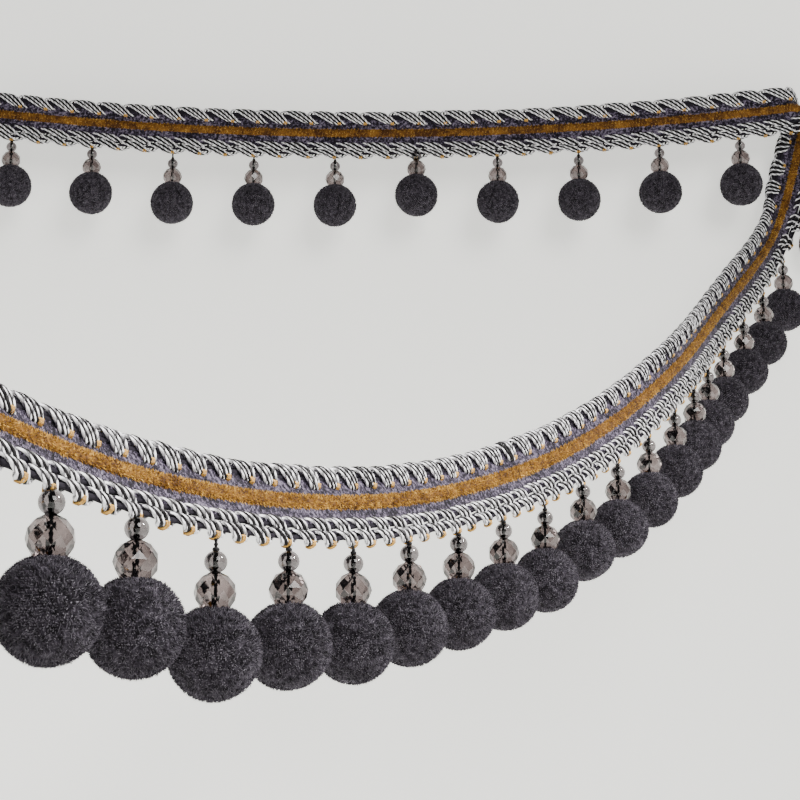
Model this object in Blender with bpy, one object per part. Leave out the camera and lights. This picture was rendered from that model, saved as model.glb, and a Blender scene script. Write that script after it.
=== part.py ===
# Pompom fringe trim: a braided heading with a gold cord along its middle, and a fringe of
# threaded beads and wool pompoms along its lower edge.  The length hangs in a swag towards the
# viewer, climbs to the right, folds over once at its hanging point and runs back level.
# Units are metres, +X to the right, +Y away from the viewer, +Z up.  The origin is the hanging
# point: the middle of the fold, on the top edge of the braid.

import math

import bmesh
import bpy
import numpy as np
from mathutils import Vector

# --- driving dimensions -------------------------------------------------------------------
GAP = 0.0003                    # clearance kept between neighbouring pieces
POMPOM_DIAMETER = 0.028
DROP_PITCH = 0.052              # pompom to pompom, along the braid
DROP_LENGTH = 0.0300            # lower edge of the braid to the pompom's middle
CORD_WIDTH = 0.008
CORD_THICKNESS = 0.0048
GROUND_SHOWING = 0.0030         # height of the woven ground above and below the cord
GROUND_THICKNESS = 0.0014
GIMP_THICKNESS = 0.0040
TOP_REACH = 0.0150              # cord's middle line to the top edge of the gimp
BOTTOM_REACH = 0.0175           # cord's middle line to the bottom edge of the gimp
SMALL_BEAD_DIAMETER = 0.0068
LARGE_BEAD_DIAMETER = 0.0125
THREAD_DIAMETER = 0.0018
THREAD_ROOT = 0.0030            # how far each thread runs up inside the gimp

# --- how the length hangs -----------------------------------------------------------------
# Middle line of the gold cord in the swag, from the near cut end up to the fold.
SWAG_PATH = [
    (-0.3550, -0.8540, -0.3830),
    (-0.3340, -0.7810, -0.3820),
    (-0.2810, -0.6370, -0.3680),
    (-0.2250, -0.4950, -0.3370),
    (-0.1650, -0.3620, -0.2890),
    (-0.1080, -0.2320, -0.2240),
    (-0.0790, -0.1430, -0.1810),
    (-0.0430, -0.0620, -0.1290),
    (-0.0070, 0.0040, -0.0630),
    (0.0070, 0.0080, -0.0130),
]
LEVEL_LENGTH = 0.528            # the run that goes back to the left, fold to cut end
LEVEL_LOWEST_AT = 0.272         # how far along it its lowest point lies
LEVEL_SAG = 0.230               # rise = sag * distance squared, from that lowest point
FOLD_RADIUS = 0.007
# The braid leans back (face turned up) in the near part of the swag, and less further on.
NEAR_LEAN = math.radians(30)
FAR_LEAN = math.radians(14)
LEAN_EASES = (0.36, 0.68)       # stretch of the swag over which the lean falls
UNTWIST_LENGTH = 0.090          # stretch beside the fold over which the braid turns to meet it

FIRST_DROP = DROP_PITCH / 2
DROP_COUNT = 31
# Threads are tied by hand, so a few drops hang lower (+) or higher (-) than the rest.
THREAD_SLACK = {
    1: -0.0014, 2: -0.0018, 3: 0.0030, 4: 0.0008, 5: 0.0016, 9: 0.0014, 10: -0.0018,
    24: 0.0012, 26: -0.0058, 27: 0.0010, 28: 0.0014, 29: 0.0028,
}
# Beside the fold two pompoms are pushed aside (x, y) by the braid that they rest against.
DROP_SWAY = {20: (0.0034, 0.0014), 21: (0.0010, -0.0032)}

FINE_STEP = 0.001               # sampling of the route
OPEN_STEP = DROP_PITCH * 0.75   # spacing of the loft's sections on the open runs
TURN_STEP = 0.008               # spacing where the braid turns to meet the fold
FOLD_STEP = 0.0018              # spacing round the fold
HANGER_SIDES = 6
MERGE_DISTANCE = 0.00001
POMPOM_SEGMENTS = 10
POMPOM_RINGS = 7


def unit(vectors):
    return vectors / np.linalg.norm(vectors, axis=-1, keepdims=True)


def ease(value):
    value = np.clip(value, 0.0, 1.0)
    return value * value * (3 - 2 * value)


def natural_spline(points, step):
    """Smooth curve through the points, sampled about every step."""
    points = np.array(points)
    knots = np.concatenate([[0.0], np.cumsum(np.linalg.norm(np.diff(points, axis=0), axis=1))])
    width = np.diff(knots)
    count = len(points)
    matrix = np.zeros((count, count))
    right = np.zeros((count, 3))
    matrix[0, 0] = matrix[-1, -1] = 1.0
    for i in range(1, count - 1):
        matrix[i, i - 1:i + 2] = width[i - 1], 2 * (width[i - 1] + width[i]), width[i]
        right[i] = 6 * ((points[i + 1] - points[i]) / width[i]
                        - (points[i] - points[i - 1]) / width[i - 1])
    bend = np.linalg.solve(matrix, right)
    at = np.linspace(0.0, knots[-1], int(knots[-1] / step) + 1)
    span = np.clip(np.searchsorted(knots, at, side="right") - 1, 0, count - 2)
    h = width[span][:, None]
    a = (knots[span + 1] - at)[:, None] / h
    b = 1 - a
    return (a * points[span] + b * points[span + 1]
            + ((a ** 3 - a) * bend[span] + (b ** 3 - b) * bend[span + 1]) * h * h / 6)


def tangents_of(points):
    return unit(np.gradient(points, axis=0))


def build_route():
    """Points, tangents, face normals and arc lengths from the near cut end to the far one."""
    up = np.array([0.0, 0.0, 1.0])
    swag = natural_spline(SWAG_PATH, FINE_STEP)
    swag_tangent = tangents_of(swag)
    swag_length = np.concatenate(
        [[0.0], np.cumsum(np.linalg.norm(np.diff(swag, axis=0), axis=1))])
    lean = NEAR_LEAN + (FAR_LEAN - NEAR_LEAN) * ease(
        (swag_length - LEAN_EASES[0]) / (LEAN_EASES[1] - LEAN_EASES[0]))
    level_face = unit(np.cross(swag_tangent, up))
    upright = np.cross(level_face, swag_tangent)
    swag_up = np.cos(lean)[:, None] * upright - np.sin(lean)[:, None] * level_face
    swag_face = np.cross(swag_tangent, swag_up)

    # the fold is half a turn of a helix that carries the swag's direction into the level run's
    arrive = swag_tangent[-1]
    leave_slope = 2 * LEVEL_SAG * LEVEL_LOWEST_AT
    leave = unit(np.array([-1.0, 0.0, -leave_slope]))
    axis = unit(arrive + leave)
    along = float(arrive @ axis)
    across = unit(arrive - along * axis)
    inward = -np.cross(axis, across)                  # towards the viewer
    turn_length = math.pi * FOLD_RADIUS / math.sqrt(1 - along * along)
    turn = np.linspace(0.0, math.pi, int(turn_length / FINE_STEP) + 1)[:, None]
    fold = (swag[-1] + axis * along * turn_length * turn / math.pi
            + FOLD_RADIUS * (np.sin(turn) * across + (1 - np.cos(turn)) * inward))
    fold_face = np.cos(turn) * inward - np.sin(turn) * across

    run = np.arange(0.0, LEVEL_LENGTH + FINE_STEP / 2, FINE_STEP)
    rise = LEVEL_SAG * ((run - LEVEL_LOWEST_AT) ** 2 - LEVEL_LOWEST_AT ** 2)
    level = fold[-1] + np.stack([-run, np.zeros_like(run), rise], axis=1)
    level_face = np.tile([0.0, 1.0, 0.0], (len(run), 1))

    # let the open runs turn into the fold's own face
    weight = ease(1 - (swag_length[-1] - swag_length) / UNTWIST_LENGTH)[:, None]
    swag_face = swag_face * (1 - weight) + fold_face[0] * weight
    weight = ease(1 - run / UNTWIST_LENGTH)[:, None]
    level_face = level_face * (1 - weight) + fold_face[-1] * weight

    points = np.concatenate([swag[:-1], fold, level[1:]])
    faces = np.concatenate([swag_face[:-1], fold_face, level_face[1:]])
    tangents = tangents_of(points)
    faces = unit(faces - tangents * np.sum(faces * tangents, axis=1, keepdims=True))
    lengths = np.concatenate([[0.0], np.cumsum(np.linalg.norm(np.diff(points, axis=0), axis=1))])
    fold_start = lengths[len(swag) - 1]
    fold_end = lengths[len(swag) + len(fold) - 2]
    return points, tangents, faces, lengths, fold_start, fold_end


class Route:
    """The hung length: gives the middle line and the braid's directions at any distance."""

    def __init__(self):
        (self.points, self.tangents, self.faces, self.lengths,
         self.fold_start, self.fold_end) = build_route()
        middle = (self.fold_start + self.fold_end) / 2
        self.points = self.points - self.place(middle, TOP_REACH)

    def mix(self, values, at):
        return np.array([np.interp(at, self.lengths, values[:, k]) for k in range(3)])

    def frame(self, at):
        centre = self.mix(self.points, at)
        tangent = unit(self.mix(self.tangents, at))
        face = unit(self.mix(self.faces, at))
        return centre, np.cross(face, tangent), face

    def place(self, at, height, out=0.0):
        """The point at that distance along, that height on the braid and that far off its face."""
        centre, rise, face = self.frame(at)
        return centre + rise * height + face * out


def evenly(start, end, step):
    """Distances from start up to but not including end, about step apart."""
    return np.linspace(start, end, round((end - start) / step), endpoint=False)


def loft_stations(route):
    """Distances of the loft's sections: close together round the fold, wider elsewhere."""
    total = route.lengths[-1]
    before = route.fold_start - UNTWIST_LENGTH
    after = route.fold_end + UNTWIST_LENGTH
    return np.concatenate([
        evenly(0.0, before, OPEN_STEP), evenly(before, route.fold_start, TURN_STEP),
        evenly(route.fold_start, route.fold_end, FOLD_STEP),
        evenly(route.fold_end, after, TURN_STEP), evenly(after, total, OPEN_STEP), [total]])


def make_material(name, colour, roughness, metallic=0.0):
    material = bpy.data.materials.new(name)
    material.use_nodes = True
    shader = material.node_tree.nodes["Principled BSDF"]
    shader.inputs["Base Color"].default_value = (*colour, 1.0)
    shader.inputs["Roughness"].default_value = roughness
    shader.inputs["Metallic"].default_value = metallic
    return material


def finish_mesh(name, bm, collection, material):
    bmesh.ops.recalc_face_normals(bm, faces=bm.faces)
    mesh = bpy.data.meshes.new(name)
    bm.to_mesh(mesh)
    bm.free()
    mesh.materials.append(material)
    part = bpy.data.objects.new(name, mesh)
    collection.objects.link(part)
    return part


def loft_strip(name, route, section, collection, material):
    """Carries a closed section of (height, out) corners along the whole route."""
    bm = bmesh.new()
    rings = []
    for at in loft_stations(route):
        rings.append([bm.verts.new(route.place(at, height, out)) for height, out in section])
    for ring, following in zip(rings, rings[1:]):
        for i in range(len(section)):
            j = (i + 1) % len(section)
            bm.faces.new((ring[i], ring[j], following[j], following[i]))
    bm.faces.new(reversed(rings[0]))
    bm.faces.new(rings[-1])
    return finish_mesh(name, bm, collection, material)


def flat_section(low, high, thickness):
    half = thickness / 2
    return [(low, -half), (high, -half), (high, half), (low, half)]


def oval_section(width, thickness):
    """Six-sided, with flats at its upper and lower sides so that it clears the ground."""
    turn = [math.pi * k / 3 for k in range(6)]
    reach = width / 2 / math.sin(math.pi / 3)
    return [(math.sin(a) * reach, math.cos(a) * thickness / 2) for a in turn]


def drop_places(route):
    """For each drop: the point on the braid's lower edge, and the pompom's middle below it."""
    places = []
    for number in range(1, DROP_COUNT + 1):
        at = FIRST_DROP + (number - 1) * DROP_PITCH
        edge = route.place(at, -BOTTOM_REACH)
        sway = DROP_SWAY.get(number, (0.0, 0.0))
        middle = edge + np.array([*sway, -DROP_LENGTH - THREAD_SLACK.get(number, 0.0)])
        places.append((number, edge, middle))
    return places


def hanger_profile(length):
    """Radius and height of a thread with its two beads, from inside the braid down."""
    thread = THREAD_DIAMETER / 2
    small = SMALL_BEAD_DIAMETER / 2
    large = LARGE_BEAD_DIAMETER / 2
    foot = -length + POMPOM_DIAMETER / 2 + GAP
    neck = foot + LARGE_BEAD_DIAMETER * 0.74
    top = neck + SMALL_BEAD_DIAMETER * 0.94
    return [
        (0.0, THREAD_ROOT), (thread, THREAD_ROOT), (thread, top),
        (small, neck + small), (small * 0.45, neck),
        (large * 0.62, neck - large * 0.30), (large, foot + large * 0.55),
        (large * 0.72, foot), (0.0, foot),
    ]


def turn_profile(bm, profile, top, downward):
    """Spins a profile about the line from top along downward into a closed body in bm."""
    swing = Vector((0, 0, -1)).rotation_difference(downward)
    verts = [bm.verts.new(top + swing @ Vector((radius, 0, height))) for radius, height in profile]
    edges = [bm.edges.new(pair) for pair in zip(verts, verts[1:])]
    bmesh.ops.spin(bm, geom=verts + edges, cent=top, axis=swing @ Vector((0, 0, 1)),
                   angle=2 * math.pi, steps=HANGER_SIDES, use_merge=True)
    bmesh.ops.remove_doubles(bm, verts=bm.verts[:], dist=MERGE_DISTANCE)


def build_hangers(route, guides, material):
    bm = bmesh.new()
    for number, edge, middle in drop_places(route):
        down = Vector(middle - edge)
        turn_profile(bm, hanger_profile(down.length), Vector(edge), down)
    hangers = finish_mesh("hanger_guides", bm, guides, material)
    hangers.hide_render = True
    hangers.display_type = "WIRE"
    return hangers


def build_pompoms(route, collection, material):
    for number, edge, middle in drop_places(route):
        bpy.ops.mesh.primitive_uv_sphere_add(
            segments=POMPOM_SEGMENTS, ring_count=POMPOM_RINGS,
            radius=POMPOM_DIAMETER / 2, location=middle)
        pompom = bpy.context.object
        pompom.name = f"pompom_{number:02d}"
        pompom.data.name = pompom.name
        pompom.data.materials.append(material)
        pompom.data.shade_smooth()
        for owner in list(pompom.users_collection):
            owner.objects.unlink(pompom)
        collection.objects.link(pompom)


def main():
    for existing in list(bpy.data.objects):
        bpy.data.objects.remove(existing, do_unlink=True)
    trim = bpy.data.collections.new("pompom_fringe_trim")
    guides = bpy.data.collections.new("guides")
    bpy.context.scene.collection.children.link(trim)
    bpy.context.scene.collection.children.link(guides)

    gold = make_material("gold_chenille", (0.42, 0.24, 0.08), 0.80)
    ground = make_material("lilac_grey_ground", (0.26, 0.24, 0.29), 0.70)
    gimp = make_material("silver_black_gimp", (0.36, 0.36, 0.37), 0.35)
    hanger = make_material("beaded_thread", (0.20, 0.18, 0.19), 0.30)
    wool = make_material("charcoal_pile", (0.10, 0.095, 0.11), 0.95)

    route = Route()
    cord_edge = CORD_WIDTH / 2
    ground_start = cord_edge + GAP
    ground_end = ground_start + GROUND_SHOWING
    gimp_start = ground_end + GAP
    loft_strip("gold_cord", route, oval_section(CORD_WIDTH, CORD_THICKNESS), trim, gold)
    loft_strip("ground_upper", route,
               flat_section(ground_start, ground_end, GROUND_THICKNESS), trim, ground)
    loft_strip("ground_lower", route,
               flat_section(-ground_end, -ground_start, GROUND_THICKNESS), trim, ground)
    loft_strip("gimp_upper", route,
               flat_section(gimp_start, TOP_REACH, GIMP_THICKNESS), trim, gimp)
    comb = loft_strip("fringe_comb", route,
                      flat_section(-BOTTOM_REACH, -gimp_start, GIMP_THICKNESS), trim, gimp)
    join = comb.modifiers.new("hangers", "BOOLEAN")
    join.operation = "UNION"
    join.solver = "EXACT"
    join.object = build_hangers(route, guides, hanger)
    build_pompoms(route, trim, wool)


main()
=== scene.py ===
import math

import bpy
import numpy as np
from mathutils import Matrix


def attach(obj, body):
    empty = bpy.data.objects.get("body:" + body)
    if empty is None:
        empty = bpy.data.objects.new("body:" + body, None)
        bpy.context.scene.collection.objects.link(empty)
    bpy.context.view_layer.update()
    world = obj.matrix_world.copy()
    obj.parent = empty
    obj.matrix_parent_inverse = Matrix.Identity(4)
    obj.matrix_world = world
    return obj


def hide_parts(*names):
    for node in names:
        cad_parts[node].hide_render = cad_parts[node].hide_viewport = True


# a pompom fringe trim: its ground, cord, gimp, beads and pompoms, laid over the plain solids
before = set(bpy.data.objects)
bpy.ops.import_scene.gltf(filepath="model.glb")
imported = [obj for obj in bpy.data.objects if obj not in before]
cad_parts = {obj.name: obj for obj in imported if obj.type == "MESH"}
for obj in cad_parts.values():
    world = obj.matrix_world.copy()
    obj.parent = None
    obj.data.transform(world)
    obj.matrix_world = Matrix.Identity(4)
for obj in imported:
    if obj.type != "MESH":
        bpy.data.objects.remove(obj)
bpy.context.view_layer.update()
chance = np.random.default_rng(31)
bodyName = "root"
mm = 0.001

# how the trim hangs: the same middle line as the solids
hanging = {
    "swag": [(-0.3550, -0.8540, -0.3830), (-0.3340, -0.7810, -0.3820), (-0.2810, -0.6370, -0.3680),
             (-0.2250, -0.4950, -0.3370), (-0.1650, -0.3620, -0.2890), (-0.1080, -0.2320, -0.2240),
             (-0.0790, -0.1430, -0.1810), (-0.0430, -0.0620, -0.1290), (-0.0070, 0.0040, -0.0630),
             (0.0070, 0.0080, -0.0130)],
    "levelLength": 0.528, "levelLowestAt": 0.272, "levelSag": 0.230, "foldRadius": 0.007,
    "nearLean": math.radians(30), "farLean": math.radians(14), "leanEases": (0.36, 0.68),
    "untwist": 0.090, "topReach": 0.0150, "bottomReach": 0.0175, "step": 0.001,
}


def unit(vectors):
    return vectors / np.linalg.norm(vectors, axis=-1, keepdims=True)


def ease(value):
    value = np.clip(value, 0.0, 1.0)
    return value * value * (3 - 2 * value)


def smoothCurve(points, step):    # a natural spline through the points
    points = np.array(points)
    knots = np.concatenate([[0.0], np.cumsum(np.linalg.norm(np.diff(points, axis=0), axis=1))])
    width = np.diff(knots)
    count = len(points)
    matrix, right = np.zeros((count, count)), np.zeros((count, 3))
    matrix[0, 0] = matrix[-1, -1] = 1.0
    for i in range(1, count - 1):
        matrix[i, i - 1:i + 2] = width[i - 1], 2 * (width[i - 1] + width[i]), width[i]
        right[i] = 6 * ((points[i + 1] - points[i]) / width[i] - (points[i] - points[i - 1]) / width[i - 1])
    bend = np.linalg.solve(matrix, right)
    at = np.linspace(0.0, knots[-1], int(knots[-1] / step) + 1)
    span = np.clip(np.searchsorted(knots, at, side="right") - 1, 0, count - 2)
    h = width[span][:, None]
    a = (knots[span + 1] - at)[:, None] / h
    b = 1 - a
    return (a * points[span] + b * points[span + 1]
            + ((a ** 3 - a) * bend[span] + (b ** 3 - b) * bend[span + 1]) * h * h / 6)


def lengthsOf(points):
    return np.concatenate([[0.0], np.cumsum(np.linalg.norm(np.diff(points, axis=0), axis=1))])


def tangentsOf(points):
    return unit(np.gradient(points, axis=0))


class Route:    # middle line of the braid, and its directions at any distance along
    def __init__(self, own):
        step = own["step"]
        swag = smoothCurve(own["swag"], step)
        tangent, length = tangentsOf(swag), lengthsOf(swag)
        first, last = own["leanEases"]
        lean = own["nearLean"] + (own["farLean"] - own["nearLean"]) * ease((length - first) / (last - first))
        levelFace = unit(np.cross(tangent, [0.0, 0.0, 1.0]))
        upright = np.cross(levelFace, tangent)
        swagUp = np.cos(lean)[:, None] * upright - np.sin(lean)[:, None] * levelFace
        swagFace = np.cross(tangent, swagUp)

        arrive = tangent[-1]
        leave = unit(np.array([-1.0, 0.0, -2 * own["levelSag"] * own["levelLowestAt"]]))
        axis = unit(arrive + leave)
        along = float(arrive @ axis)
        across = unit(arrive - along * axis)
        inward = -np.cross(axis, across)
        turnLength = math.pi * own["foldRadius"] / math.sqrt(1 - along * along)
        turn = np.linspace(0.0, math.pi, int(turnLength / step) + 1)[:, None]
        fold = (swag[-1] + axis * along * turnLength * turn / math.pi
                + own["foldRadius"] * (np.sin(turn) * across + (1 - np.cos(turn)) * inward))
        foldFace = np.cos(turn) * inward - np.sin(turn) * across

        run = np.arange(0.0, own["levelLength"] + step / 2, step)
        rise = own["levelSag"] * ((run - own["levelLowestAt"]) ** 2 - own["levelLowestAt"] ** 2)
        level = fold[-1] + np.stack([-run, np.zeros_like(run), rise], axis=1)
        weight = ease(1 - (length[-1] - length) / own["untwist"])[:, None]
        swagFace = swagFace * (1 - weight) + foldFace[0] * weight
        weight = ease(1 - run / own["untwist"])[:, None]
        levelFace = np.array([[0.0, 1.0, 0.0]]) * (1 - weight) + foldFace[-1] * weight

        self.points = np.concatenate([swag[:-1], fold, level[1:]])
        self.tangents = tangentsOf(self.points)
        faces = np.concatenate([swagFace[:-1], foldFace, levelFace[1:]])
        self.faces = unit(faces - self.tangents * np.sum(faces * self.tangents, axis=1, keepdims=True))
        self.lengths = lengthsOf(self.points)
        self.total = self.lengths[-1]
        middle = (self.lengths[len(swag) - 1] + self.lengths[len(swag) + len(fold) - 2]) / 2
        self.points = self.points - self.place(middle, own["topReach"], 0.0)

    def read(self, values, at):
        return np.stack([np.interp(at, self.lengths, values[:, k]) for k in range(3)], axis=-1)

    def faceAt(self, at):
        return unit(self.read(self.faces, at))

    def place(self, at, height, out):    # out is how far off the braid's face
        face = self.faceAt(at)
        rise = np.cross(face, unit(self.read(self.tangents, at)))
        upward, outward = np.asarray(height)[..., None], np.asarray(out)[..., None]
        return self.read(self.points, at) + rise * upward + face * outward


route = Route(hanging)
print("route", round(route.total, 4), "m")


class Shape:    # collects points, faces and their attributes, and makes one mesh
    def __init__(self):
        self.points, self.faces, self.slots, self.marks, self.count = [], [], [], [], 0

    def add(self, points, faces, mark, slot=0):
        self.points.append(points)
        self.marks.append(np.broadcast_to(mark, (len(points), 3)))
        for group in faces:
            self.faces.append(group + self.count)
            self.slots.append(np.full(len(group), slot))
        self.count += len(points)

    def make(self, name, materials, smooth=True):
        points, marks = np.concatenate(self.points), np.concatenate(self.marks)
        corners = np.concatenate([group.ravel() for group in self.faces])
        sizes = np.concatenate([np.full(len(group), group.shape[1]) for group in self.faces])
        mesh = bpy.data.meshes.new(name)
        mesh.vertices.add(len(points))
        mesh.vertices.foreach_set("co", points.ravel().astype(np.float32))
        mesh.loops.add(len(corners))
        mesh.loops.foreach_set("vertex_index", corners.astype(np.int32))
        mesh.polygons.add(len(sizes))
        mesh.polygons.foreach_set("loop_start", (np.cumsum(sizes) - sizes).astype(np.int32))
        mesh.polygons.foreach_set("material_index", np.concatenate(self.slots).astype(np.int32))
        mesh.polygons.foreach_set("use_smooth", np.full(len(sizes), smooth))
        mark = mesh.attributes.new("mark", "FLOAT_VECTOR", "POINT")
        mark.data.foreach_set("vector", marks.ravel().astype(np.float32))
        mesh.update(calc_edges=True)
        mesh.validate()
        for material in materials:
            mesh.materials.append(material)
        piece = bpy.data.objects.new(name, mesh)
        bpy.context.scene.collection.objects.link(piece)
        triangles = int(np.sum(sizes - 2))
        print(name, triangles, "triangles")
        return piece


def ringFaces(rings, sides):    # quads between rings, and the two end faces
    ring = np.arange(rings - 1)[:, None] * sides
    here = np.arange(sides)
    after = (here + 1) % sides
    quads = np.stack([ring + here, ring + after, ring + sides + after, ring + sides + here], axis=-1)
    return [quads.reshape(-1, 4), here[::-1][None, :], ((rings - 1) * sides + here)[None, :]]


def tube(path, face, radius, sides):
    tangent = tangentsOf(path)
    side = unit(np.cross(tangent, face))
    out = np.cross(side, tangent)
    angle = np.arange(sides) * 2 * math.pi / sides
    reach = np.broadcast_to(radius, len(path))[:, None, None]
    ring = side[:, None] * np.cos(angle)[None, :, None] + out[:, None] * np.sin(angle)[None, :, None]
    points = (path[:, None] + ring * reach).reshape(-1, 3)
    mark = np.stack([np.repeat(lengthsOf(path), sides), np.tile(np.cos(angle), len(path)),
                     np.tile(np.sin(angle), len(path))], axis=1)
    return points, ringFaces(len(path), sides), mark


def turned(profile, sides):    # a closed round body from (radius, height) pairs, bottom to top
    angle = np.arange(sides) * 2 * math.pi / sides
    points = [np.stack([r * np.cos(angle), r * np.sin(angle), np.full(sides, h)], axis=1) for r, h in profile]
    return np.concatenate(points), ringFaces(len(profile), sides)


def ballProfile(radius, rings, squash=1.0, hole=0.16):
    tilt = np.linspace(-math.pi / 2 + hole, math.pi / 2 - hole, rings)
    return [(radius * math.cos(a), radius * squash * math.sin(a)) for a in tilt]


def standing(axis, spin=0.0):    # columns of a turn that stands +Z along axis
    axis = unit(axis)
    helper = np.array([math.cos(spin), math.sin(spin), 0.0])
    first = unit(helper - axis * (helper @ axis))
    return np.stack([first, np.cross(axis, first), axis], axis=1)


def spikes(roots, tips, width, tint):    # one three-sided tuft per root, with its tint and tip marks; the tip mark lets the looks paint the roots darker as painted shade
    line = unit(tips - roots)
    helper = unit(chance.normal(size=roots.shape))
    first = unit(np.cross(line, helper))
    second = np.cross(line, first)
    corners = []
    for k in range(3):
        angle = 2 * math.pi * k / 3
        corners.append(roots + (first * math.cos(angle) + second * math.sin(angle)) * width[:, None])
    points = np.stack(corners + [tips], axis=1).reshape(-1, 3)
    start = np.arange(len(roots))[:, None] * 4
    faces = np.concatenate([start + f for f in ([0, 1, 3], [1, 2, 3], [2, 0, 3], [0, 2, 1])])
    mark = np.zeros((len(points), 3))
    mark[:, 0] = np.repeat(tint, 4)
    mark[3::4, 1] = 1.0
    return points, [faces], mark


class Wire:    # a socket that can stand in a Python sum
    def __init__(self, look, socket):
        self.look, self.socket = look, socket

    def work(self, operation, *terms):
        return self.look.node("ShaderNodeMath", {"operation": operation}, dict(enumerate(terms)))

    def __add__(self, other):
        return self.work("ADD", self, other)

    def __sub__(self, other):
        return self.work("SUBTRACT", self, other)

    def __rsub__(self, other):
        return self.work("SUBTRACT", other, self)

    def __mul__(self, other):
        return self.work("MULTIPLY", self, other)

    __radd__ = __add__
    __rmul__ = __mul__

    def wave(self):
        return self.work("SINE", self)


class Look:    # one material, with its fixed values set on the shader
    def __init__(self, name, **fixed):
        self.material = bpy.data.materials.new(name)
        self.material.use_nodes = True
        self.tree = self.material.node_tree
        self.shader = self.tree.nodes["Principled BSDF"]
        for key, value in fixed.items():
            self.shader.inputs[key.replace("_", " ")].default_value = value

    def put(self, socket, value):
        if isinstance(value, Wire):
            self.tree.links.new(value.socket, socket)
        elif isinstance(value, tuple) and len(value) == 3 and socket.type == "RGBA":
            socket.default_value = (*value, 1.0)
        else:
            socket.default_value = value

    def node(self, kind, settings, sockets, output=0):
        made = self.tree.nodes.new(kind)
        for key, value in settings.items():
            if key == "stops":
                for _ in value[2:]:
                    made.color_ramp.elements.new(0.5)
                for stop, (place, colour) in zip(made.color_ramp.elements, value):
                    stop.position, stop.color = place, (*colour, 1.0)
            else:
                setattr(made, key, value)
        for key, value in sockets.items():
            self.put(made.inputs[key], value)
        return Wire(self, made.outputs[output])

    def mark(self):    # the three numbers kept on the mesh
        vector = self.node("ShaderNodeAttribute", {"attribute_name": "mark"}, {}, "Vector")
        return [self.node("ShaderNodeSeparateXYZ", {}, {0: vector}, k) for k in range(3)]

    def place(self):
        return self.node("ShaderNodeTexCoord", {}, {}, "Object")

    def noise(self, scale, detail=2.0, rough=0.5):
        return self.node("ShaderNodeTexNoise", {}, {"Vector": self.place(), "Scale": scale,
                                                    "Detail": detail, "Roughness": rough}, "Fac")

    def ramp(self, factor, *stops):
        return self.node("ShaderNodeValToRGB", {"stops": stops}, {0: factor}, "Color")

    def mix(self, factor, first, second):
        return self.node("ShaderNodeMix", {"data_type": "RGBA"}, {0: factor, 6: first, 7: second}, 2)

    def bump(self, height, strength, distance):
        return self.node("ShaderNodeBump", {}, {"Height": height, "Strength": strength, "Distance": distance})

    def finish(self, **sockets):
        for key, value in sockets.items():
            self.put(self.shader.inputs[key.replace("_", " ")], value)
        return self.material


def twistedThread(name, light, dark, pitch, rough, gloss):    # two plies, wound round each other
    look = Look(name, Specular_IOR_Level=gloss)
    along, cosine, sine = look.mark()
    turn = along * (2 * math.pi / pitch)
    quarter = turn + math.pi / 2
    cosine, sine = cosine * cosine - sine * sine, cosine * sine * 2
    groove = turn.wave() * cosine + quarter.wave() * sine
    speck = look.noise(900.0, 3.0)
    colour = look.ramp(groove * 0.5 + 0.5 + (speck - 0.5) * 0.35, (0.16, dark), (0.42, light), (1.0, light))
    return look.finish(Base_Color=colour, Roughness=speck * 0.25 + rough,
                       Normal=look.bump(groove + speck * 0.4, 0.6, 0.0002))


def goldPileLook():
    look = Look("goldPile", Sheen_Weight=0.08, Sheen_Roughness=0.45, Sheen_Tint=(1.0, 0.62, 0.22, 1.0),
                Specular_IOR_Level=0.15)
    tint, tip, _ = look.mark()
    patch = look.noise(140.0, 3.0, 0.6)
    fleck = look.noise(700.0, 2.0)
    # the tip term paints the tuft tips lighter and the roots darker: painted shade deep in the pile
    shade = tint * 0.55 + tip * 0.2 + patch * 0.9 + fleck * 0.6 - 0.60
    colour = look.ramp(shade, (0.12, (0.036, 0.012, 0.0015)), (0.38, (0.15, 0.064, 0.008)),
                       (0.62, (0.31, 0.158, 0.024)), (0.92, (0.55, 0.33, 0.08)))
    return look.finish(Base_Color=colour, Roughness=fleck * 0.2 + 0.65,
                       Normal=look.bump(fleck, 0.5, 0.0002))


weave = {"weft": 0.0011, "warp": 0.0010}    # spacing of the ground's yarns


def groundLook():
    look = Look("lilacWeave", Specular_IOR_Level=0.15)
    along, height, _ = look.mark()
    weft = (along * (2 * math.pi / weave["weft"])).wave()
    warp = (height * (2 * math.pi / weave["warp"])).wave()
    speck = look.noise(650.0, 3.0, 0.7)
    patch = look.noise(90.0, 2.0)
    shade = weft * warp * 0.16 + speck * 3.2 + patch * 0.8 - 1.5
    colour = look.ramp(shade, (0.20, (0.004, 0.003, 0.006)), (0.44, (0.022, 0.017, 0.030)),
                       (0.62, (0.052, 0.042, 0.068)), (0.88, (0.20, 0.17, 0.235)))
    return look.finish(Base_Color=colour, Roughness=speck * 0.2 + 0.55,
                       Normal=look.bump(weft * warp * 0.5 + speck * 2.0, 1.0, 0.0005))


def woolLook():
    look = Look("charcoalPile", Sheen_Weight=0.56, Sheen_Roughness=0.38, Sheen_Tint=(0.80, 0.76, 0.85, 1.0),
                Specular_IOR_Level=0.1)
    tint, tip, _ = look.mark()
    patch = look.noise(420.0, 3.0, 0.6)
    fleck = look.noise(1500.0, 2.0)
    # the tip term paints the tuft tips lighter and the roots darker: painted shade deep in the pile
    shade = tint * 0.32 + tip * 0.08 + patch * 1.9 + fleck * 0.8 - 1.02
    colour = look.ramp(shade, (0.05, (0.003, 0.0025, 0.0036)), (0.35, (0.015, 0.0125, 0.017)),
                       (0.65, (0.040, 0.035, 0.045)), (0.95, (0.088, 0.079, 0.095)))
    return look.finish(Base_Color=colour, Roughness=fleck * 0.15 + 0.8)


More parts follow.
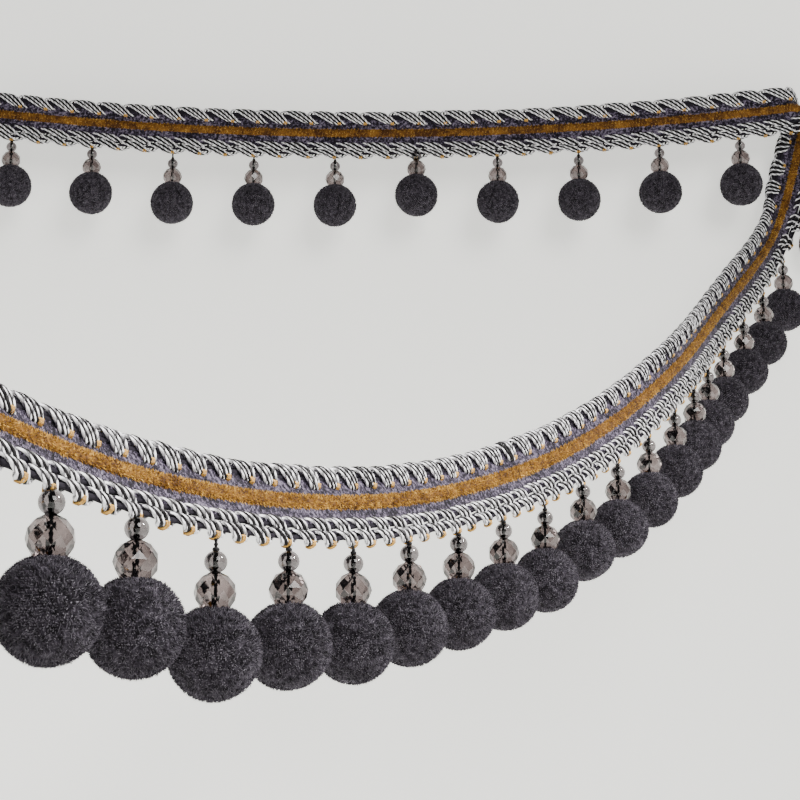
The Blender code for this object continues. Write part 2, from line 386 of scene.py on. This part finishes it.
def smokeGlassLook():
    look = Look("smokeGlass", Roughness=0.03, IOR=1.54, Transmission_Weight=1.0)
    cloud = look.noise(120.0, 2.0)
    colour = look.ramp(cloud, (0.35, (0.075, 0.056, 0.054)), (0.65, (0.25, 0.205, 0.20)))
    return look.finish(Base_Color=colour)


def pearlLook():
    look = Look("smokePearl", Roughness=0.04, IOR=1.52, Transmission_Weight=1.0)
    cloud = look.noise(260.0, 2.0)
    colour = look.ramp(cloud, (0.35, (0.08, 0.07, 0.072)), (0.65, (0.24, 0.215, 0.22)))
    return look.finish(Base_Color=colour)


def plainLook(name, colour, rough):
    look = Look(name, Specular_IOR_Level=0.05)
    speck = look.noise(800.0, 2.0)
    shade = look.mix(speck, tuple(0.6 * c for c in colour), tuple(1.3 * c for c in colour))
    return look.finish(Base_Color=shade, Roughness=speck * 0.2 + rough)


whiteStrand = twistedThread("whiteStrand", (0.86, 0.85, 0.88), (0.06, 0.056, 0.064), 0.0034, 0.20, 0.6)
blackStrand = twistedThread("blackStrand", (0.010, 0.009, 0.010), (0.002, 0.002, 0.002), 0.0024, 0.40, 0.15)
goldStrand = twistedThread("goldStrand", (0.60, 0.33, 0.06), (0.10, 0.036, 0.005), 0.0014, 0.32, 0.4)
goldPile, lilacWeave, charcoalPile = goldPileLook(), groundLook(), woolLook()
smokeGlass, pearlGrey = smokeGlassLook(), pearlLook()
# core yarns coloured near-black to stand in for the shade in the gimp's hollows: painted shade
hollowShadeBlack = plainLook("hollowShadeBlack", (0.017, 0.015, 0.020), 0.75)


def ready(piece, slot, *nodes):
    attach(piece, bodyName)
    if nodes:
        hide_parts(*nodes)
    return piece


# the woven ground is one tape behind the cord and under the gimp
ground = {"reach": 0.0088, "hidden": 0.0036, "thickness": 0.0011, "ridge": 0.00016, "rows": 5,
          "showingPoints": 12, "step": 0.005}


def makeGround(own):
    at = np.linspace(0.0, route.total, int(route.total / own["step"]) + 1)
    showing = np.linspace(own["hidden"], own["reach"], own["showingPoints"])
    across = np.concatenate([-showing[::-1], showing])
    turn = (np.abs(across) - own["hidden"]) / (own["reach"] - own["hidden"]) * own["rows"] * 2 * math.pi
    half = own["thickness"] / 2 - own["ridge"] + own["ridge"] * np.cos(turn)
    height = np.concatenate([across, across[::-1]])
    out = np.concatenate([half, -half[::-1]])
    grid = np.repeat(at, len(height))
    points = route.place(grid, np.tile(height, len(at)), np.tile(out, len(at)))
    mark = np.stack([grid, np.tile(height, len(at)), np.zeros(len(grid))], axis=1)
    shape = Shape()
    shape.add(points, ringFaces(len(at), len(height)), mark)
    return ready(shape.make("wovenGround", [lilacWeave]), "lilac_grey_ground", "ground_upper", "ground_lower")


wovenGround = makeGround(ground)

# the gold chenille cord has a plain core and tufts that stand on it in slanting ribs
cord = {"width": 0.0074, "thickness": 0.0052, "core": 0.74, "rootShare": 0.93, "sides": 12, "step": 0.0016,
        "tufts": [(0.0, 0.50, 2.2), (0.50, 1.06, 1.1), (1.06, 1.62, 0.8)],    # from, to, tufts per sq mm
        "thick": 0.00026, "rib": 0.0022, "slant": 0.35, "ribDepth": 0.34, "uneven": 0.03,
        "turnShake": 0.10, "alongShake": 0.00035, "paintedRibShading": 0.38, "tintSpread": 0.18}


def ovalPoint(angle, scale, own):
    return np.sin(angle) * own["width"] / 2 * scale, np.cos(angle) * own["thickness"] / 2 * scale


def makeCord(own):
    shape = Shape()
    at = np.linspace(0.0, route.total, int(route.total / own["step"]) + 1)
    angle = np.tile(np.arange(own["sides"]) * 2 * math.pi / own["sides"], len(at))
    height, out = ovalPoint(angle, own["core"], own)
    points = route.place(np.repeat(at, own["sides"]), height, out)
    # the core's low tint mark paints it darker: painted shade under the tufts
    shape.add(points, ringFaces(len(at), own["sides"]), (0.15, 0.0, 0.0))
    around = math.pi * (own["width"] + own["thickness"]) / 2
    for start, end, perSquare in own["tufts"]:
        end = min(end, route.total)
        count = int((end - start) * around / mm / mm * perSquare)
        where = np.sort(chance.uniform(start, end, count))
        angle = chance.uniform(0.0, 2 * math.pi, count)
        ribs = np.cos(2 * math.pi * (where / own["rib"] + own["slant"] * np.sin(angle)))
        height, out = ovalPoint(angle, own["core"] * own["rootShare"], own)
        roots = route.place(where, height, out)
        full = own["core"] + (1 - own["core"]) * (1 - own["ribDepth"] + own["ribDepth"] * ribs)
        full = full + chance.normal(0.0, own["uneven"], count)
        height, out = ovalPoint(angle + chance.normal(0.0, own["turnShake"], count), full, own)
        where = np.clip(where + chance.normal(0.0, own["alongShake"], count), 0.0, route.total)
        tips = route.place(where, height, out)
        # tufts on the rib crests are painted lighter and those in the gaps darker: painted highlight and
        # painted shade
        tint = np.clip(0.5 + own["paintedRibShading"] * ribs + chance.normal(0.0, own["tintSpread"], count), 0.0, 1.0)
        shape.add(*spikes(roots, tips, np.full(count, own["thick"]), tint))
    ready(shape.make("goldCord", [goldPile], False), "gold_chenille", "gold_cord")


makeCord(cord)

# the gimp is rows of twisted strands wound over dark yarns and bound with gold; three loops to a drop
dropPitch = 0.052
gimpPitch = dropPitch / 3
firstDrop = dropPitch / 2
winding = {"endGap": 0.0004, "nearLoops": 52, "farPerLoop": 12, "swell": 0.07, "depthShake": 0.00015,
           "proud": 1.04, "arch": 0.10, "sides": 5}
stitching = {"points": 8, "sides": 4, "endGap": 0.001, "lastGap": 0.003, "shake": 0.0004}
yarn = {"endGap": 0.001, "step": 0.006, "waver": 0.0003, "sides": 6}
gimpLooks = [whiteStrand, blackStrand, goldStrand, hollowShadeBlack]
white, black, gold, hollowShade = range(4)


def unevenly(turns, spread):    # a value for each loop, eased from loop to loop
    count = int(turns[-1]) + 3
    return np.interp(turns, np.arange(count) - 0.5, chance.normal(0.0, spread, count))


def coilRow(shape, own):    # strands laid side by side, over the front and back again behind
    first = own["phase"] - gimpPitch * math.ceil(own["phase"] / gimpPitch) - gimpPitch
    loops = int((route.total - first) / gimpPitch) + 2
    near = winding["nearLoops"]
    turns = np.concatenate([np.arange(0.0, near, 1 / own["perLoop"]),
                            np.arange(near, loops + 0.01, 1 / winding["farPerLoop"])])
    angle = 2 * math.pi * turns
    fall = (1 - np.cos(angle)) / 2
    at = first + gimpPitch * turns + own["skew"] * fall + unevenly(turns, own["shake"])
    swell = 1 + unevenly(turns, winding["swell"])
    gather = 1 - (1 - own["gather"]) * fall ** 2
    count = len(own["colours"])
    for k, slot in enumerate(own["colours"]):
        side = 2 * k / (count - 1) - 1
        where = at + side * own["shift"] * gather
        tall = own["tall"] * (winding["proud"] - winding["arch"] * side * side)
        height = own["middle"] + tall * swell * np.cos(angle)
        out = own["deep"] * np.sin(angle) + unevenly(turns, winding["depthShake"])
        keep = (where > winding["endGap"]) & (where < route.total - winding["endGap"])
        path = route.place(where[keep], height[keep], out[keep])
        shape.add(*tube(path, route.faceAt(where[keep]), own["thick"][slot], winding["sides"]), slot)


def stitches(shape, own):    # short rings of gold thread that bind each loop down
    first = own["stitchPhase"] - gimpPitch * math.floor(own["stitchPhase"] / gimpPitch)
    angle = np.arange(stitching["points"]) * 2 * math.pi / stitching["points"]
    for middle in np.arange(first, route.total - stitching["lastGap"], gimpPitch):
        shift = chance.normal(0.0, stitching["shake"])
        for aside in own["stitchesAt"]:
            where = middle + aside + shift
            if not stitching["endGap"] < where < route.total - stitching["endGap"]:
                continue
            height = own["stitchHeight"] + np.sin(angle) * own["stitchTall"]
            out = np.cos(angle) * own["stitchDeep"]
            loop = route.place(np.full(len(angle), where), height, out)
            loopAround(shape, loop, own["stitchRadius"], gold)


def loopAround(shape, loop, radius, slot):    # a closed ring of thread
    sides, count = stitching["sides"], len(loop)
    tangent = unit(np.roll(loop, -1, axis=0) - np.roll(loop, 1, axis=0))
    normal = unit(np.cross(loop[1] - loop[0], loop[count // 3] - loop[0]))
    outward = np.cross(tangent, normal)
    angle = np.arange(sides) * 2 * math.pi / sides
    ring = (outward[:, None] * np.cos(angle)[None, :, None]
            + normal[None, None, :] * np.sin(angle)[None, :, None])
    points = (loop[:, None] + ring * radius).reshape(-1, 3)
    here = np.arange(count)[:, None] * sides
    after = (np.arange(count)[:, None] + 1) % count * sides
    k = np.arange(sides)
    follow = (k + 1) % sides
    quads = np.stack([here + k, here + follow, after + follow, after + k], axis=-1).reshape(-1, 4)
    length = np.repeat(np.arange(count) * np.linalg.norm(loop[1] - loop[0]), sides)
    mark = np.stack([length, np.tile(np.cos(angle), count), np.tile(np.sin(angle), count)], axis=1)
    shape.add(points, [quads], mark, slot)


def darkYarns(shape, own):    # the dark core yarns that the loops are wound over, made near-black as painted shade in the loops' hollows
    at = np.linspace(yarn["endGap"], route.total - yarn["endGap"], int(route.total / yarn["step"]))
    for height in own["yarns"]:
        level = height + yarn["waver"] * np.sin(at * 2 * math.pi / gimpPitch)
        path = route.place(at, level, np.zeros_like(at))
        shape.add(*tube(path, route.faceAt(at), own["yarnRadius"], yarn["sides"]), hollowShade)


upperGimp = {
    "phase": firstDrop - 0.0030 - gimpPitch / 2 + 0.0050, "middle": 0.0102, "tall": 0.0042, "deep": 0.0019,
    "skew": -0.0050, "gather": 0.55, "shake": 0.0006, "perLoop": 20, "shift": 0.0058,
    "thick": (0.00057, 0.00066), "colours": [white, black, white, black, white, black, white],
    "stitchPhase": firstDrop - 0.0020, "stitchHeight": 0.0065, "stitchTall": 0.0008, "stitchDeep": 0.0016,
    "stitchRadius": 0.00060, "stitchesAt": (-0.0006, 0.0006), "yarns": (0.0096, 0.0114), "yarnRadius": 0.0010,
}
lowerInner = {
    "phase": firstDrop - gimpPitch / 2 + 0.0035, "middle": -0.0093, "tall": 0.0026, "deep": 0.0016,
    "skew": -0.0030, "gather": 0.75, "shake": 0.0006, "perLoop": 18, "shift": 0.0050,
    "thick": (0.00055, 0.00063), "colours": [white, black, white, black, white],
}
lowerOuter = {
    "phase": firstDrop - gimpPitch / 2 + 0.0045, "middle": -0.0140, "tall": 0.0026, "deep": 0.0016,
    "skew": -0.0040, "gather": 0.60, "shake": 0.0006, "perLoop": 18, "shift": 0.0052,
    "thick": (0.00055, 0.00063), "colours": [white, black, white, black, white],
    "stitchPhase": firstDrop + 0.0006, "stitchHeight": -0.0164, "stitchTall": 0.0008, "stitchDeep": 0.0015,
    "stitchRadius": 0.00048, "stitchesAt": (-0.0006, 0.0006),
    "yarns": (-0.0094, -0.0117, -0.0138), "yarnRadius": 0.0009,
}


def makeUpperGimp(own):
    shape = Shape()
    coilRow(shape, own)
    stitches(shape, own)
    darkYarns(shape, own)
    ready(shape.make("upperGimp", gimpLooks), "silver_black_gimp", "gimp_upper")


def makeLowerGimp(inner, outer):
    shape = Shape()
    coilRow(shape, inner)
    coilRow(shape, outer)
    stitches(shape, outer)
    darkYarns(shape, outer)
    ready(shape.make("lowerGimp", gimpLooks), "silver_black_gimp", "fringe_comb")


makeUpperGimp(upperGimp)
makeLowerGimp(lowerInner, lowerOuter)

# each drop is a thread, a pearl bead, a faceted bead and a pompom; some are tied longer (+) or shorter (-)
drops = {
    "count": 31, "length": 0.0300,
    "slack": {1: -0.0014, 2: -0.0018, 3: 0.0030, 4: 0.0008, 5: 0.0016, 9: 0.0014, 10: -0.0018,
              24: 0.0012, 26: -0.0058, 27: 0.0010, 28: 0.0014, 29: 0.0028},
    "sway": {20: (0.0034, 0.0014), 21: (0.0010, -0.0032)},
    "facetRadius": 0.00625, "facetAbove": 0.0173, "facetsAround": 9,
    "pearlRadius": 0.0034, "pearlAbove": 0.0262, "pearlSquash": 0.97,
    "knotRadius": 0.0011, "knotSquash": 0.75, "waistKnot": 1.35, "waistUp": 0.0001, "neckUp": 0.0002,
    "threadFoot": 0.0105, "threadRoot": 0.0022, "twist": 0.0030, "plyRadius": 0.00038, "plyAside": 0.00030,
}


def dropPlaces(own):
    places = []
    for number in range(1, own["count"] + 1):
        at = np.array([firstDrop + (number - 1) * dropPitch])
        edge = route.place(at, np.array([-hanging["bottomReach"]]), np.zeros(1))[0]
        sway = own["sway"].get(number, (0.0, 0.0))
        middle = edge + np.array([*sway, -own["length"] - own["slack"].get(number, 0.0)])
        places.append((number, float(at[0]), edge, middle, unit(edge - middle)))
    return places


places = dropPlaces(drops)


def facetedBead(radius, around):    # rings half a step apart give the diamond cut
    rows = [(0.27, -0.94, 0.0), (0.66, -0.74, 0.5), (0.92, -0.37, 0.0), (1.0, 0.0, 0.5),
            (0.92, 0.37, 0.0), (0.66, 0.74, 0.5), (0.27, 0.94, 0.0)]
    points = []
    for reach, height, shift in rows:
        angle = (np.arange(around) + shift) * 2 * math.pi / around
        points.append(np.stack([np.cos(angle) * reach, np.sin(angle) * reach,
                                np.full(around, height)], axis=1) * radius)
    faces = []
    k = np.arange(around)
    follow = (k + 1) % around
    for row in range(len(rows) - 1):
        low, high = row * around, (row + 1) * around
        shift = rows[row + 1][2] - rows[row][2]
        if shift > 0:
            faces.append(np.stack([low + k, low + follow, high + k], axis=1))
            faces.append(np.stack([low + follow, high + follow, high + k], axis=1))
        else:
            faces.append(np.stack([low + k, high + follow, high + k], axis=1))
            faces.append(np.stack([low + k, low + follow, high + follow], axis=1))
    faces.append(k[::-1][None, :])
    faces.append(((len(rows) - 1) * around + k)[None, :])
    return np.concatenate(points), faces


def makeBeads(own):
    crystals, pearls, threads = Shape(), Shape(), Shape()
    crystalPoints, crystalFaces = facetedBead(own["facetRadius"], own["facetsAround"])
    pearlPoints, pearlFaces = turned(ballProfile(own["pearlRadius"], 15, own["pearlSquash"]), 24)
    knotPoints, knotFaces = turned(ballProfile(own["knotRadius"], 7, own["knotSquash"], 0.3), 10)
    for _, at, edge, middle, up in places:
        turn = standing(up, chance.uniform(0.0, 2 * math.pi))
        crystals.add(crystalPoints @ turn.T + middle + up * own["facetAbove"], crystalFaces, (0.0, 0.0, 0.0))
        pearls.add(pearlPoints @ turn.T + middle + up * own["pearlAbove"], pearlFaces, (0.0, 0.0, 0.0))
        waist = own["pearlAbove"] - own["pearlRadius"] + own["waistUp"]
        neck = own["pearlAbove"] + own["pearlRadius"] + own["neckUp"]
        for above, size in ((waist, own["waistKnot"]), (neck, 1.0)):
            threads.add(knotPoints * size @ turn.T + middle + up * above, knotFaces, (0.0, 1.0, 0.0))
        rootHeight = np.array([-hanging["bottomReach"] + own["threadRoot"]])
        top = route.place(np.array([at]), rootHeight, np.zeros(1))[0]
        line = np.linspace(0.0, 1.0, 27)[:, None]
        straight = np.concatenate([(middle + up * own["threadFoot"]) * (1 - line) + edge * line,
                                   edge * (1 - line[9::9]) + top * line[9::9]])
        wind = lengthsOf(straight) / own["twist"] * 2 * math.pi
        side = np.broadcast_to(turn[:, 0], straight.shape)
        for ply in (0.0, math.pi):
            coil = turn[:, 0] * np.cos(wind + ply)[:, None] + turn[:, 1] * np.sin(wind + ply)[:, None]
            threads.add(*tube(straight + coil * own["plyAside"], side, own["plyRadius"], 5))
    ready(crystals.make("facetedBeads", [smokeGlass], False), "silver_black_gimp")
    ready(pearls.make("pearlBeads", [pearlGrey]), "silver_black_gimp")
    ready(threads.make("dropThreads", [blackStrand]), "silver_black_gimp")


makeBeads(drops)

pile = {"core": 0.0133, "root": 0.0130, "tip": 0.0140, "uneven": 0.00011, "lean": 0.035, "jitter": 0.35,
        "stray": 0.0005, "strayShare": 0.03, "outOfRound": 0.006, "tintSpread": 0.22, "clear": 0.0001,
        "tufts": [(8, 5400, 0.00033), (14, 3300, 0.00042), (31, 2000, 0.00054)]}    # up to drop, count, width


def evenBall(count):    # points spread evenly over a ball
    k = np.arange(count) + 0.5
    height = 1 - 2 * k / count
    turn = k * math.pi * (1 + math.sqrt(5))
    flat = np.sqrt(1 - height * height)
    return np.stack([flat * np.cos(turn), flat * np.sin(turn), height], axis=1)


def makePompom(own, number, middle, up):
    count, width = next((c, w) for last, c, w in own["tufts"] if number <= last)
    shape = Shape()
    core, coreFaces = turned(ballProfile(own["core"], 14, 1.0, 0.12), 20)
    # the core's low tint mark paints it darker: painted shade under the pile
    shape.add(core @ standing(up).T + middle, coreFaces, (0.1, 0.0, 0.0))
    turn = standing(unit(chance.normal(size=3)))
    jitter = own["jitter"] / math.sqrt(count)
    outward = unit(evenBall(count) @ turn.T + chance.normal(0.0, jitter, (count, 3)))
    swell = np.ones(count)
    for _ in range(5):    # hand-trimmed, so never quite round
        swell += own["outOfRound"] * np.cos(outward @ unit(chance.normal(size=3)) * 4 + chance.uniform(0, 6))
    lean = unit(outward + chance.normal(0.0, own["lean"], (count, 3)))
    reach = own["tip"] * swell + chance.normal(0.0, own["uneven"], count)
    reach += np.where(chance.random(count) < own["strayShare"], chance.uniform(0.0, own["stray"], count), 0.0)
    tips = lean * reach[:, None]
    roots = outward * own["root"]
    bead = up * drops["facetAbove"]
    clear = np.linalg.norm(tips - bead, axis=1) > drops["facetRadius"] + own["clear"]
    tint = np.clip(chance.normal(0.5, own["tintSpread"], count), 0.0, 1.0)
    widths = np.full(int(clear.sum()), width)
    shape.add(*spikes(roots[clear] + middle, tips[clear] + middle, widths, tint[clear]))
    name = f"{number:02d}"
    ready(shape.make("pompomPile" + name, [charcoalPile], False), "charcoal_pile", "pompom_" + name)


for number, _, _, middle, up in places:
    makePompom(pile, number, middle, up)

# the room: a wall just behind the level run, a floor, two lights and the camera
stage = {"wallAt": 0.0165, "floorAt": -0.62, "wallColour": (0.745, 0.745, 0.715), "glow": 1.05, "reach": 3.0,
         "patchShade": 0.95, "paintedLightAtFoot": 1.16}
room = {"colour": (0.93, 0.95, 1.0), "strength": 0.09}
window = {"place": (0.55, -2.1, 0.55), "target": (-0.25, -0.2, -0.2), "size": (0.9, 1.2), "power": 34.0,
          "colour": (1.0, 0.985, 0.96)}
lamp = {"place": (1.10, -0.98, 0.62), "target": (-0.25, -0.60, -0.37), "cone": math.radians(38.0),
        "power": 340.0, "colour": (1.0, 0.98, 0.96), "blend": 0.9, "softSize": 0.16}
camera = {"place": (-0.2532, -1.3670, -0.4962), "pitch": 0.2142, "yaw": 0.0014, "lens": 98.8, "sensor": 36.0}


def stageMaterial(own):    # paint that glows, with painted light that brightens it towards the floor, and nothing at all from its back
    look = Look("plainPaint", Roughness=0.9, Emission_Strength=own["glow"])
    plain = own["wallColour"]
    colour = look.mix(look.noise(1.2, 1.0), plain, tuple(own["patchShade"] * c for c in plain))
    height = look.node("ShaderNodeSeparateXYZ", {}, {0: look.place()}, 2)
    # the glow is painted light: it grows brighter towards the floor
    paintedLightByHeight = look.ramp(height * -2.0 + 0.1, (0.0, plain), (1.0, tuple(own["paintedLightAtFoot"] * c for c in plain)))
    look.finish(Base_Color=colour, Emission_Color=paintedLightByHeight)
    behind = look.node("ShaderNodeNewGeometry", {}, {}, "Backfacing")
    clear = look.node("ShaderNodeBsdfTransparent", {}, {})
    paint = Wire(look, look.shader.outputs[0])
    oneSided = look.node("ShaderNodeMixShader", {}, {0: behind, 1: paint, 2: clear})
    look.put(look.tree.nodes["Material Output"].inputs[0], oneSided)
    return look.material


def stageSheet(name, corners, material):
    mesh = bpy.data.meshes.new(name)
    mesh.from_pydata(corners, [], [(0, 1, 2, 3)])
    mesh.materials.append(material)
    sheet = bpy.data.objects.new(name, mesh)
    bpy.context.scene.collection.objects.link(sheet)


def makeStage(own):
    paint, r, y, z = stageMaterial(own), own["reach"], own["wallAt"], own["floorAt"]
    stageSheet("wall", [(-r, y, z), (r, y, z), (r, y, r), (-r, y, r)], paint)
    stageSheet("floor", [(-r, -r, z), (r, -r, z), (r, y, z), (-r, y, z)], paint)


def addLight(name, kind, own):    # aimed from its place at its target
    data = bpy.data.lights.new(name, kind)
    data.energy, data.color = own["power"], own["colour"]
    if kind == "AREA":
        data.shape = "RECTANGLE"
        data.size, data.size_y = own["size"]
    else:
        data.spot_size, data.spot_blend, data.shadow_soft_size = own["cone"], own["blend"], own["softSize"]
    light = bpy.data.objects.new(name, data)
    light.location = own["place"]
    line = np.array(own["place"]) - np.array(own["target"])
    tilt = math.atan2(line[2], math.hypot(line[0], line[1]))
    light.rotation_euler = (math.pi / 2 - tilt, 0.0, math.atan2(line[0], -line[1]))
    bpy.context.scene.collection.objects.link(light)


def makeRoom(own):
    world = bpy.data.worlds.new("room")
    bpy.context.scene.world = world
    world.use_nodes = True
    back = world.node_tree.nodes["Background"]
    back.inputs["Color"].default_value = (*own["colour"], 1.0)
    back.inputs["Strength"].default_value = own["strength"]


def makeCamera(own):
    data = bpy.data.cameras.new("camera")
    data.lens, data.sensor_width = own["lens"], own["sensor"]
    view = bpy.data.objects.new("camera", data)
    view.location = own["place"]
    view.rotation_euler = (math.pi / 2 + own["pitch"], 0.0, own["yaw"])
    bpy.context.scene.collection.objects.link(view)
    bpy.context.scene.camera = view


makeStage(stage)
makeRoom(room)
addLight("window", "AREA", window)
addLight("lamp", "SPOT", lamp)
makeCamera(camera)
print("stage, light and camera")
